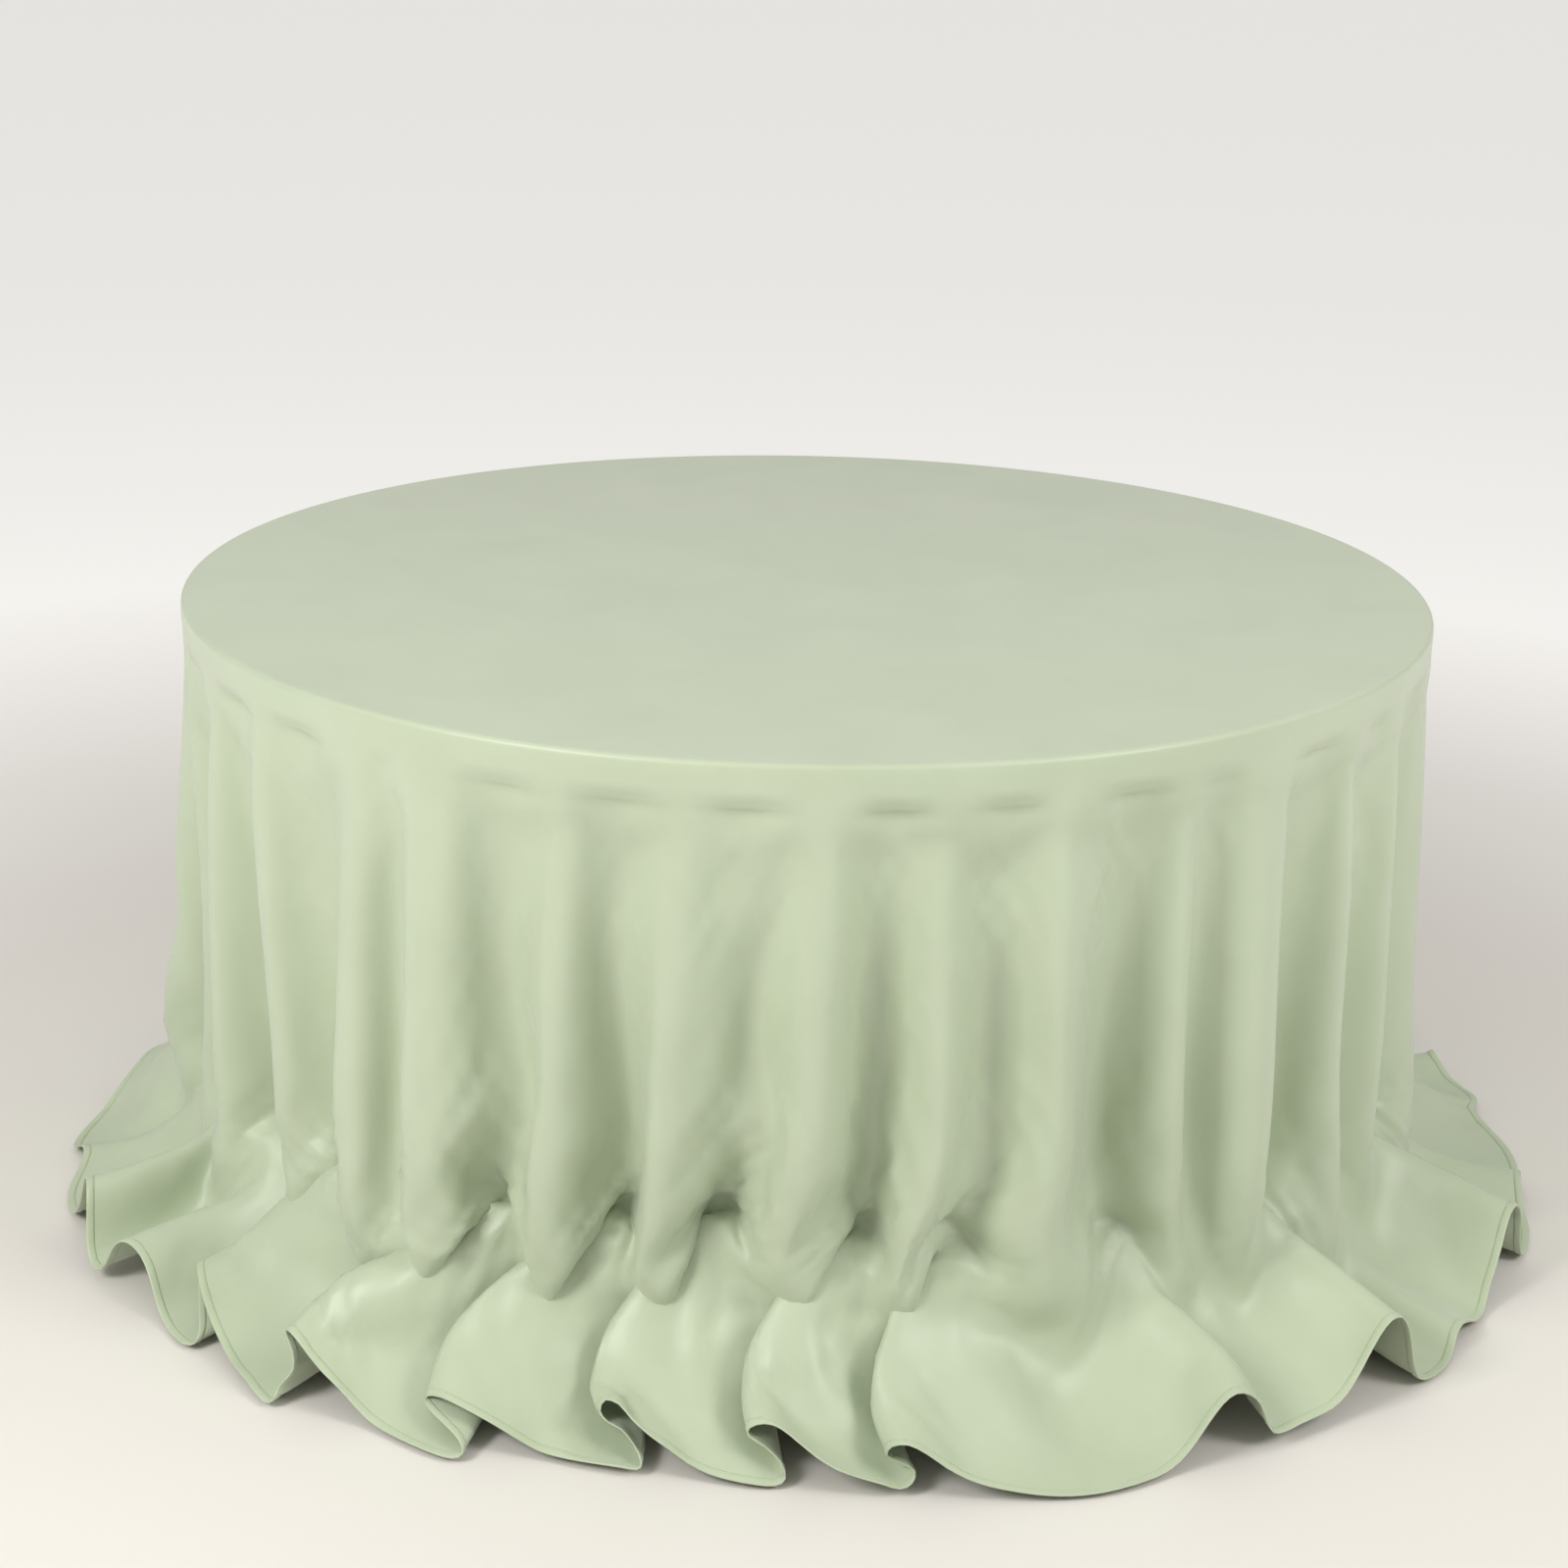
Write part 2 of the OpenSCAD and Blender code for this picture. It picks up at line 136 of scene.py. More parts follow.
room_links.new(room_seen.outputs["Is Camera Ray"], room_shown.inputs[0])
room_links.new(room_shown.outputs[0], room_nodes["Background"].inputs["Strength"])
bpy.context.scene.view_settings.view_transform = "Standard"


def softbox(name, place, size, watts, aim):
    """A square area light at place that faces aim."""
    lamp = bpy.data.lights.new(name, "AREA")
    lamp.shape = "SQUARE"
    lamp.size = size
    lamp.energy = watts
    lamp.color = (1.0, 0.985, 0.96)
    holder = bpy.data.objects.new(name, lamp)
    bpy.context.scene.collection.objects.link(holder)
    holder.location = place
    holder.rotation_euler = (Vector(aim) - Vector(place)).to_track_quat("-Z", "Y").to_euler()


softbox("softbox_left", (-2.5, -2.7, 2.6), 1.3, 92.0, (0, 0, 0.6))
softbox("softbox_right", (2.8, -2.1, 2.6), 1.3, 58.0, (0, 0, 0.6))


# Tablecloth: one round of smooth satin-faced polyester, 3.353 m across, laid over the table.
# It lies flat on the top, falls in soft folds from under the edge band and spreads on the floor.
# The folds are laid in, then the cloth settles on the table and the floor as cloth.

table_radius = 0.762
table_height = 0.762
cloth_radius = 1.6764
rim_rounding = 0.006
flat_until = table_radius - 0.003
edge_at = flat_until + rim_rounding * math.pi / 2
band_spare = 0.055
foot_of_wall = 0.79
floor_bend = 0.03
columns = 400
skirt_rows = 44
laid_by_hand = 0.030
free_from = 0.03
free_over = 0.10
settle_frames = 28
calming = 0.25
lies_above = 0.003
cloth_thickness = 0.0022
laid_off_floor = 0.004
widest_reach = 0.975

# One row per fold seen from the front: its bearing at mid height and at the hem, in degrees from
# the front towards the right, its share of the spare cloth at mid height and at the hem, its width.
front_folds = [
    (-57.4, -57.0, 1.0, 1.0, 1.0),
    (-46.5, -43.0, 1.0, 1.2, 1.0),
    (-35.6, -34.0, 0.55, 0.35, 0.45),
    (-24.4, -28.5, 1.0, 1.15, 1.0),
    (-14.3, -16.0, 1.0, 1.15, 1.0),
    (-4.2, -4.0, 1.0, 1.1, 1.0),
    (7.3, 6.3, 1.0, 0.95, 0.9),
    (16.3, 16.0, 0.9, 0.9, 0.9),
    (27.6, 30.0, 1.05, 1.15, 1.0),
    (35.8, 37.0, 0.7, 0.4, 0.7),
    (48.1, 43.5, 1.05, 1.2, 1.0),
    (58.0, 57.0, 0.7, 0.45, 0.8),
    (68.9, 66.0, 1.0, 1.15, 1.0),
]
draw = np.random.default_rng(5)


def all_folds():
    """The front folds and 20 more drawn for the rest of the round, as an array."""
    folds = [list(fold) for fold in front_folds]
    last, span = front_folds[-1][0], 360 - (front_folds[-1][0] - front_folds[0][0])
    gaps = draw.uniform(0.75, 1.25, 21)
    for step in np.cumsum(gaps / gaps.sum() * span)[:-1]:
        weak = draw.random() < 0.3
        bearing = last + step
        folds.append([
            bearing,
            bearing + draw.uniform(-2, 2),
            draw.uniform(0.8, 1.1) * (0.75 if weak else 1),
            draw.uniform(0.9, 1.2) * (0.4 if weak else 1),
            draw.uniform(0.75, 1.1) * (0.7 if weak else 1),
        ])
    return np.array(folds)


folds = all_folds()
folds = folds[np.argsort(folds[:, 0])]
fold_mid = np.radians(folds[:, 0] - 90)
fold_low = np.radians(folds[:, 1] - 90)
fold_gap = (np.roll(fold_mid, -1) - fold_mid) % (2 * np.pi)
fold_reach = (fold_gap + np.roll(fold_gap, 1)) / 2


def tuck_sides(count):
    """The way each tuck falls on the floor, with less lean where two would fall on each other."""
    sides, side = np.ones(count), 1.0
    for fold in range(count):
        if draw.random() < 0.35:
            side = -side
        sides[fold] = side
    meets = (sides > 0) & (np.roll(sides, -1) < 0) | (sides < 0) & (np.roll(sides, 1) > 0)
    return sides * draw.uniform(0.9, 1.08, count) * np.where(meets, 0.3, 1.0), meets


tuck_side, tuck_meets = tuck_sides(len(folds))
meeting_share = 0.6
folds[tuck_meets, 3] *= meeting_share


def ease(x):
    x = min(max(x, 0.0), 1.0)
    return x * x * (3 - 2 * x)


def panel_path(along):
    """Radius and height of the cloth between two folds, at a distance along it from the middle."""
    if along <= flat_until:
        return along, table_height + lies_above
    past = along - flat_until
    if past <= rim_rounding * math.pi / 2:
        turn = past / rim_rounding
        return (
            flat_until + rim_rounding * math.sin(turn),
            table_height + lies_above - rim_rounding * (1 - math.cos(turn)),
        )
    drop = past - rim_rounding * math.pi / 2
    top_r, top_z = table_radius + lies_above, table_height - lies_above
    lean = math.atan2(foot_of_wall - top_r, top_z)
    wall = (top_z - 0.004 - floor_bend) / math.cos(lean)
    if drop <= wall:
        return top_r + drop * math.sin(lean), top_z - drop * math.cos(lean)
    centre_r = top_r + wall * math.sin(lean) + floor_bend * math.cos(lean)
    centre_z = top_z - wall * math.cos(lean) + floor_bend * math.sin(lean)
    bend = floor_bend * (math.pi / 2 - lean)
    if drop - wall <= bend:
        turn = math.pi + lean + (drop - wall) / floor_bend
        return centre_r + floor_bend * math.cos(turn), centre_z + floor_bend * math.sin(turn)
    return centre_r + drop - wall - bend, centre_z - floor_bend


def unstrained_radius(along):
    """The ring's radius in the flat cloth, less what the knit gives over the edge band."""
    past = max(0.0, along - 0.764)
    return min(along, 0.764) + past - band_spare * (1 - math.exp(-past / band_spare))


# How wide a pleat is, and how far past the edge its tuck starts to rise and to lean, in metres.
pleat_width = 0.23
tuck_rises_from, tuck_rises_over = 0.55, 0.26
tuck_leans_from, tuck_leans_over = 0.66, 0.20
tuck_lean = math.radians(78)
tuck_draws_in = 0.35
around = np.linspace(0, 2 * np.pi, 6001)
column_at = np.arange(columns) / columns * 2 * np.pi


def laid_ring(along):
    """One ring of the cloth as it is laid: pleats inwards on the wall, tucks up on the floor."""
    r, z = panel_path(along)
    past = along - edge_at
    if past <= 0:
        return np.stack([r * np.cos(column_at), r * np.sin(column_at), np.full(columns, z)], -1)
    share = ease((past / (cloth_radius - edge_at) - 0.45) / 0.5)
    centre = fold_mid + (fold_low - fold_mid) * share
    width = pleat_width * fold_reach * folds[:, 4]
    amount = folds[:, 2] + (folds[:, 3] - folds[:, 2]) * share
    away = (around[:, None] - centre + np.pi) % (2 * np.pi) - np.pi
    pleats = np.exp(-0.5 * (away / width) ** 2) * amount
    lifted = ease((past - tuck_rises_from) / tuck_rises_over)
    inward = math.cos(lifted * math.pi / 2) + tuck_draws_in * lifted
    upward = math.sin(lifted * math.pi / 2)
    lean = tuck_lean * ease((past - tuck_leans_from) / tuck_leans_over) * tuck_side
    deep = pleats.sum(1)
    high = (pleats * np.cos(lean)).sum(1)
    aside = (pleats * np.sin(lean)).sum(1)
    length = 2 * np.pi * unstrained_radius(along)
    low, top = 0.0, 0.35
    for _ in range(40):
        depth = (low + top) / 2
        ring_r = r - depth * deep * inward
        ring_z = z + depth * high * upward
        bearing = around + depth * aside * upward / r
        ring = np.stack([ring_r * np.cos(bearing), ring_r * np.sin(bearing), ring_z], -1)
        steps = np.linalg.norm(np.diff(ring, axis=0), axis=1)
        if steps.sum() < length:
            low = depth
        else:
            top = depth
    travelled = np.concatenate([[0], np.cumsum(steps)])
    travelled *= 2 * np.pi / travelled[-1]
    wanted = (column_at + np.mean(travelled - around)) % (2 * np.pi)
    at = np.interp(wanted, travelled, around)
    ring = np.stack([np.interp(at, around, ring[:, axis]) for axis in range(3)], -1)
    ring[:, 2] = np.maximum(ring[:, 2], laid_off_floor)
    return ring


rows_along = np.concatenate([
    [0.735, 0.748, 0.7565, 0.764],
    np.linspace(edge_at, cloth_radius, skirt_rows - 4),
])
laid = np.array([laid_ring(along) for along in rows_along])
held_rows = int((rows_along - edge_at < laid_by_hand).sum())


def settle(start):
    """The laid cloth after it has sagged and slid to rest on the table, the floor and itself."""
    count = len(rows_along)
    flat, height = [], table_height
    for row, along in enumerate(rows_along):
        ring_r = unstrained_radius(along)
        if row:
            step = along - rows_along[row - 1]
            fall = max(step ** 2 - (ring_r - unstrained_radius(rows_along[row - 1])) ** 2, 0.0)
            height -= math.sqrt(fall)
        flat.append(np.stack([
            ring_r * np.cos(column_at), ring_r * np.sin(column_at), np.full(columns, height),
        ], -1))
    quads = [
        (a, a + columns, b + columns, b)
        for row in range(count - 1)
        for a, b in (
            (row * columns + k, row * columns + (k + 1) % columns) for k in range(columns)
        )
    ]
    mesh = bpy.data.meshes.new("settling_cloth")
    mesh.from_pydata(start.reshape(-1, 3).tolist(), [], quads)
    piece = bpy.data.objects.new("settling_cloth", mesh)
    bpy.context.scene.collection.objects.link(piece)
    piece.shape_key_add(name="Basis")
    cut = piece.shape_key_add(name="cut_flat")
    cut.data.foreach_set("co", np.array(flat).ravel())
    cut.value = 0.0
    held = piece.vertex_groups.new(name="held")
    held.add(list(range(held_rows * columns)), 1.0, "REPLACE")

    bpy.ops.mesh.primitive_cylinder_add(
        vertices=224, radius=table_radius - 0.001, depth=0.035,
        location=(0, 0, table_height - 0.0185),
    )
    helpers = [(bpy.context.object, 8.0)]
    bpy.ops.mesh.primitive_plane_add(size=6, location=(0, 0, 0))
    helpers.append((bpy.context.object, 60.0))
    bpy.ops.mesh.primitive_cone_add(
        vertices=192, radius1=0.600, radius2=0.700, depth=0.70, end_fill_type="NOTHING",
        location=(0, 0, 0.35),
    )
    helpers.append((bpy.context.object, 1.0))
    for helper, grip in helpers:
        helper.modifiers.new("solid", "COLLISION")
        helper.collision.thickness_outer = 0.002
        helper.collision.cloth_friction = grip

    bpy.context.view_layer.objects.active = piece
    cloth = piece.modifiers.new("cloth", "CLOTH")
    knit = cloth.settings
    knit.quality = 5
    knit.mass = 0.004
    knit.tension_stiffness = 20
    knit.compression_stiffness = 2
    knit.shear_stiffness = 6
    knit.bending_stiffness = 0.12
    knit.tension_damping = 2.0
    knit.compression_damping = 2.0
    knit.shear_damping = 2.0
    knit.bending_damping = 0.1
    knit.air_damping = 1.0
    knit.vertex_group_mass = "held"
    knit.rest_shape_key = cut
    touch = cloth.collision_settings
    touch.collision_quality = 3
    touch.distance_min = 0.004
    touch.use_self_collision = True
    touch.self_distance_min = 0.006
    touch.self_friction = 5
    cloth.point_cache.frame_start = 1
    cloth.point_cache.frame_end = settle_frames
    scene = bpy.context.scene
    scene.frame_start, scene.frame_end = 1, settle_frames

    # The cloth is stopped dead a few times at first, so that it doesn't fly out from its tight spots.
    done = 0
    for stop in (4, 8, 14, settle_frames):
        for step in range(1, stop - done + 1):
            scene.frame_set(step)
        seen = piece.evaluated_get(bpy.context.evaluated_depsgraph_get())
        shape = seen.to_mesh()
        now = np.zeros(count * columns * 3, np.float32)
        shape.vertices.foreach_get("co", now)
        seen.to_mesh_clear()
        piece.data.shape_keys.key_blocks["Basis"].data.foreach_set("co", now)
        piece.data.vertices.foreach_set("co", now)
        piece.data.update()
        scene.frame_set(1)
        done = stop
    for extra in [piece] + [helper for helper, grip in helpers]:
        old = extra.data
        bpy.data.objects.remove(extra)
        bpy.data.meshes.remove(old)
    return now.astype(float).reshape(count, columns, 3)


def between(rows, closed):
    """Twice as many points along the first axis, on a smooth curve through the first ones."""
    if closed:
        back, on, far = np.roll(rows, 1, 0), np.roll(rows, -1, 0), np.roll(rows, -2, 0)
        halfway = (9 * (rows + on) - back - far) / 16
        return np.stack([rows, halfway], 1).reshape(-1, *rows.shape[1:])
    first, last = 2 * rows[0] - rows[1], 2 * rows[-1] - rows[-2]
    long = np.concatenate([[first], rows, [last]])
    halfway = (9 * (long[1:-2] + long[2:-1]) - long[:-3] - long[3:]) / 16
    out = np.empty((2 * len(rows) - 1,) + rows.shape[1:])
    out[0::2], out[1::2] = rows, halfway
    return out


settled = settle(laid)
onset = np.array([ease((along - edge_at - free_from) / free_over) for along in rows_along])
onset = onset[:, None, None]
settled = laid * (1 - onset) + settled * onset
skirt = settled[held_rows - 1:]
calm = skirt.copy()
calm[1:-1] += calming * (skirt[:-2] + skirt[2:] - 2 * skirt[1:-1])
calm[1:] += calming * (np.roll(skirt, 1, 1) + np.roll(skirt, -1, 1) - 2 * skirt)[1:]
skirt = between(calm, closed=False)
skirt = between(skirt.transpose(1, 0, 2), closed=True).transpose(1, 0, 2)
fine_columns = 2 * columns
fine_at = np.arange(fine_columns) / fine_columns * 2 * np.pi
top_along = np.concatenate([
    [0.04, 0.12, 0.24, 0.38, 0.52, 0.64, 0.70, 0.735, 0.750, 0.757],
    flat_until + rim_rounding * np.array([0.15, 0.45, 0.8, 1.15, 1.45]),
    edge_at + np.array([0.003, 0.010]),
])
top_along = top_along[top_along < rows_along[held_rows - 1] - 0.004]
top = np.array([
    [[r * math.cos(t), r * math.sin(t), z] for t in fine_at]
    for r, z in (panel_path(along) for along in top_along)
])
sheet = np.concatenate([top, skirt])
skirt_along = between(rows_along[held_rows - 1:], closed=False)
sheet_along = np.concatenate([top_along, skirt_along])

# The cloth lies on the floor with its own thickness, outside the table and inside its own box.
sheet[..., 2] = np.maximum(sheet[..., 2], cloth_thickness)
sheet_r = np.linalg.norm(sheet[..., :2], axis=-1)
beside_band = (sheet[..., 2] > 0.722) & (sheet[..., 2] < table_height - 0.0005)
room_left = np.where(beside_band, np.maximum(sheet_r, table_radius + cloth_thickness), sheet_r)
room_left = np.minimum(room_left, widest_reach)
sheet[..., :2] *= (room_left / sheet_r)[..., None]


def ring_quads(rings, across):
    """Faces between rings of equal length, each with its outside up or outwards."""
    return [
        (row * across + k, (row + 1) * across + k,
         (row + 1) * across + (k + 1) % across, row * across + (k + 1) % across)
        for row in range(rings - 1)
        for k in range(across)
    ]


def point_outwards(piece):
    """Turns the faces of one closed piece outwards, with nothing else selected."""
    bpy.ops.object.select_all(action="DESELECT")
    piece.select_set(True)
    bpy.context.view_layer.objects.active = piece
    bpy.ops.object.mode_set(mode="EDIT")
    bpy.ops.mesh.select_all(action="SELECT")
    bpy.ops.mesh.normals_make_consistent(inside=False)
    bpy.ops.object.mode_set(mode="OBJECT")
    piece.select_set(False)


def soft_piece(name, points, faces, flat_at):
    """A smooth mesh with its place in the uncut cloth, in metres, as its UV map."""
    mesh = bpy.data.meshes.new(name)
    mesh.from_pydata(points.tolist(), [], faces)
    mesh.shade_smooth()
    corner_at = np.zeros(len(mesh.loops), dtype=np.int32)
    mesh.loops.foreach_get("vertex_index", corner_at)
    cut_map = mesh.uv_layers.new(name="flat_cut")
    cut_map.data.foreach_set("uv", flat_at[corner_at].ravel())
    piece = bpy.data.objects.new(name, mesh)
    bpy.context.scene.collection.objects.link(piece)
    return piece


pole = len(sheet) * fine_columns
sheet_points = np.concatenate([sheet.reshape(-1, 3), [[0, 0, table_height + lies_above]]])
sheet_faces = ring_quads(len(sheet), fine_columns)
sheet_faces += [(k, (k + 1) % fine_columns, pole) for k in range(fine_columns)]
sheet_flat = np.stack([
    np.outer(sheet_along, np.cos(fine_at)), np.outer(sheet_along, np.sin(fine_at)),
], -1).reshape(-1, 2)
sheet_flat = np.concatenate([sheet_flat, [[0, 0]]])
cloth = soft_piece("cloth_sheet", sheet_points, sheet_faces, sheet_flat)


def new_effect(name, inputs, outputs):
    """An empty node group with its sockets, and its two end nodes."""
    group = bpy.data.node_groups.new(name, "ShaderNodeTree")
    for label, kind, value in inputs:
        socket = group.interface.new_socket(label, in_out="INPUT", socket_type=kind)
        socket.default_value = value
    for label, kind in outputs:
        group.interface.new_socket(label, in_out="OUTPUT", socket_type=kind)
    return group, group.nodes.new("NodeGroupInput"), group.nodes.new("NodeGroupOutput")


def math_node(tree, operation, first, second):
    """A maths node; each of first and second is a socket or a number."""
    node = tree.nodes.new("ShaderNodeMath")
    node.operation = operation
    for slot, value in enumerate((first, second)):
        if isinstance(value, (int, float)):
            node.inputs[slot].default_value = value
        else:
            tree.links.new(value, node.inputs[slot])
    return node.outputs["Value"]


def knit_effect():
    """Fine crossed yarns on the flat cut, with the soft creases that stay in a pressed cloth."""
    group, entry, end = new_effect(
        "satin_knit",
        [("Yarns per metre", "NodeSocketFloat", 900.0), ("Yarn depth", "NodeSocketFloat", 1.0),
         ("Crease", "NodeSocketFloat", 1.0)],
        [("Height", "NodeSocketFloat"), ("Mottle", "NodeSocketFloat")],
    )
    place = group.nodes.new("ShaderNodeUVMap")
    place.uv_map = "flat_cut"
    parts = group.nodes.new("ShaderNodeSeparateXYZ")
    group.links.new(place.outputs["UV"], parts.inputs["Vector"])
    turns = math_node(group, "MULTIPLY", entry.outputs["Yarns per metre"], 2 * math.pi)
    warp = math_node(group, "SINE", math_node(group, "MULTIPLY", parts.outputs["X"], turns), 0.0)
    weft = math_node(group, "SINE", math_node(group, "MULTIPLY", parts.outputs["Y"], turns), 0.0)
    yarns = math_node(group, "MULTIPLY", warp, weft)
    yarns = math_node(group, "MULTIPLY", yarns, entry.outputs["Yarn depth"])
    crease = group.nodes.new("ShaderNodeTexNoise")
    crease.inputs["Scale"].default_value = 7.0
    crease.inputs["Detail"].default_value = 5.0
    crease.inputs["Roughness"].default_value = 0.55
    crease.inputs["Distortion"].default_value = 0.6
    group.links.new(place.outputs["UV"], crease.inputs["Vector"])
    creased = math_node(group, "MULTIPLY", crease.outputs["Fac"], entry.outputs["Crease"])
    group.links.new(math_node(group, "ADD", yarns, creased), end.inputs["Height"])
    group.links.new(crease.outputs["Fac"], end.inputs["Mottle"])
    return group


satin_knit = knit_effect()


def cloth_finish(name, dark, light, yarn_depth, crease, bump):
    """Satin polyester: a soft broad gloss, a little sheen, and colour that shifts with the creases."""
    finish = bpy.data.materials.new(name)
    finish.use_nodes = True
    tree = finish.node_tree
    shader = tree.nodes["Principled BSDF"]
    shader.inputs["Sheen Weight"].default_value = 0.32
    shader.inputs["Sheen Roughness"].default_value = 0.45
    shader.inputs["Specular IOR Level"].default_value = 0.5
    effect = tree.nodes.new("ShaderNodeGroup")
    effect.node_tree = satin_knit
    effect.inputs["Yarn depth"].default_value = yarn_depth
    effect.inputs["Crease"].default_value = crease
    tone = tree.nodes.new("ShaderNodeValToRGB")
    tone.color_ramp.elements[0].position = 0.3
    tone.color_ramp.elements[0].color = (*dark, 1)
    tone.color_ramp.elements[1].position = 0.7
    tone.color_ramp.elements[1].color = (*light, 1)
    tree.links.new(effect.outputs["Mottle"], tone.inputs["Fac"])
    tree.links.new(tone.outputs["Color"], shader.inputs["Base Color"])
    gloss = tree.nodes.new("ShaderNodeMapRange")
    gloss.inputs["To Min"].default_value = 0.33
    gloss.inputs["To Max"].default_value = 0.44
    tree.links.new(effect.outputs["Mottle"], gloss.inputs["Value"])
    tree.links.new(gloss.outputs["Result"], shader.inputs["Roughness"])
    relief = tree.nodes.new("ShaderNodeBump")
    relief.inputs["Strength"].default_value = bump
    relief.inputs["Distance"].default_value = 0.0006
    tree.links.new(effect.outputs["Height"], relief.inputs["Height"])
    tree.links.new(relief.outputs["Normal"], shader.inputs["Normal"])
    return finish


cloth_fabric = cloth_finish(
    "cloth_fabric", (0.452, 0.520, 0.372), (0.480, 0.549, 0.398), 0.10, 3.0, 0.35,
)
cloth.data.materials.append(cloth_fabric)
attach(cloth, "cloth")
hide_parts("tablecloth")


# Hem: the cloth's edge turned under twice and pressed, 9 mm wide, all the way round.
# It is one closed roll of cloth over the raw edge, slightly puckered by the machine stitches.

hem_half = 0.0011
edge = sheet[-1]
inward_side = sheet[-2] - edge
inward_side /= np.linalg.norm(inward_side, axis=1)[:, None]
along_edge = np.roll(edge, -1, 0) - np.roll(edge, 1, 0)
along_edge /= np.linalg.norm(along_edge, axis=1)[:, None]
face_side = np.cross(along_edge, inward_side)
face_side /= np.linalg.norm(face_side, axis=1)[:, None]
pucker = 1 + 0.12 * draw.standard_normal(fine_columns)
hem_section = [
    (-0.0008, 0.0), (-0.0003, 0.8), (0.0015, 1.0), (0.0050, 0.95), (0.0078, 0.75), (0.0090, 0.30),
    (0.0090, -0.30), (0.0078, -0.75), (0.0050, -0.95), (0.0015, -1.0), (-0.0003, -0.8),
]
hem_rings = []
for inset, side in hem_section:
    lift = (side * hem_half * pucker)[:, None]
    ring = edge + inward_side * inset + face_side * lift
    ring[:, 2] = np.maximum(ring[:, 2], 0.0004 + 0.0010 * (side + 1))
    hem_rings.append(ring)
hem_points = np.array(hem_rings + hem_rings[:1])
hem_faces = [
    tuple(index % (len(hem_section) * fine_columns) for index in face)
    for face in ring_quads(len(hem_points), fine_columns)
]
hem_flat = np.stack([
    np.outer([cloth_radius - inset for inset, side in hem_section], np.cos(fine_at)),
    np.outer([cloth_radius - inset for inset, side in hem_section], np.sin(fine_at)),
], -1).reshape(-1, 2)
hem = soft_piece("cloth_hem", np.array(hem_rings).reshape(-1, 3), hem_faces, hem_flat)
point_outwards(hem)
hem_fabric = cloth_finish(
    "hem_fabric", (0.445, 0.520, 0.358), (0.480, 0.556, 0.390), 0.12, 2.0, 0.45,
)
hem.data.materials.append(hem_fabric)
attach(hem, "cloth")
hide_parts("hem")


# Hem stitching: one row of lockstitch in matching polyester thread, 7 mm in from the edge.
# Each stitch is a short plump bar that dips into the cloth at both ends, on both faces.

stitch_step = 0.0036
stitch_length = 0.0030
thread_half = 0.00026
stitch_inset = 0.0070

# Along the stitch: place, thickness and how far it stands out, as shares of its own sizes.
stitch_section = [(-0.5, 0.45, -0.6), (-0.25, 0.95, 0.2), (0.25, 0.95, 0.2), (0.5, 0.45, -0.6)]


def stitch_row(side):
    """Points and faces of every stitch on one face of the hem."""
    line = edge + inward_side * stitch_inset
    lift = (hem_half * pucker)[:, None] * 0.86
    line = line + face_side * lift * side
    low = 0.0004 if side < 0 else 0.0024
    line[:, 2] = np.maximum(line[:, 2], low)
    closed = np.concatenate([line, line[:1]])
    walked = np.concatenate([[0], np.cumsum(np.linalg.norm(np.diff(closed, axis=0), axis=1))])
    count = int(walked[-1] / stitch_step)
    middle = (np.arange(count) + 0.5) * walked[-1] / count
    at = np.interp(middle, walked, np.arange(fine_columns + 1))
    near = at.astype(int) % fine_columns
    after = (near + 1) % fine_columns
    part = (at - at.astype(int))[:, None]
    place = line[near] * (1 - part) + line[after] * part
    run = along_edge[near]
    out = face_side[near] * side
    wide = np.cross(out, run)
    rings = []
    for step, size, sink in stitch_section:
        centre = place + run * stitch_length * step + out * thread_half * sink
        for turn in range(4):
            a = math.pi / 4 + turn * math.pi / 2
            rings.append(centre + (wide * math.cos(a) + out * math.sin(a)) * thread_half * size)
    points = np.array(rings).transpose(1, 0, 2).reshape(-1, 3)
    points[:, 2] = np.maximum(points[:, 2], 0.0001)
    faces = []
    for first in range(0, 16 * count, 16):
        for ring in (0, 4, 8):
            for k in range(4):
                a, b = first + ring + k, first + ring + (k + 1) % 4
                faces.append((a, b, b + 4, a + 4))
        faces.append((first + 3, first + 2, first + 1, first))
        faces.append((first + 12, first + 13, first + 14, first + 15))
    return points, faces


upper_points, upper_faces = stitch_row(1)
under_points, under_faces = stitch_row(-1)
thread_points = np.concatenate([upper_points, under_points])
thread_faces = upper_faces + [tuple(k + len(upper_points) for k in face) for face in under_faces]
stitches = soft_piece(
    "hem_stitches", thread_points, thread_faces, thread_points[:, :2].copy(),
)
point_outwards(stitches)
thread = cloth_finish("thread", (0.50, 0.58, 0.41), (0.60, 0.68, 0.51), 0.5, 0.5, 0.5)
thread.node_tree.nodes["Principled BSDF"].inputs["Sheen Weight"].default_value = 0.3
stitches.data.materials.append(thread)
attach(stitches, "cloth")
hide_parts("hem_stitching")


# Care label: a plain folded satin tape, 25 mm by 38 mm, caught in the hem at the back.
# It lies against the underside of the cloth, and nothing is printed on it.

label_width = 0.025
label_length = 0.038
label_column = int(fine_columns / 4)
label_rows = 8
label_across = 7
label_grid = label_rows * label_across
label_face_depth, label_back_depth = 0.0014, 0.0019
label_off_floor = 0.0003


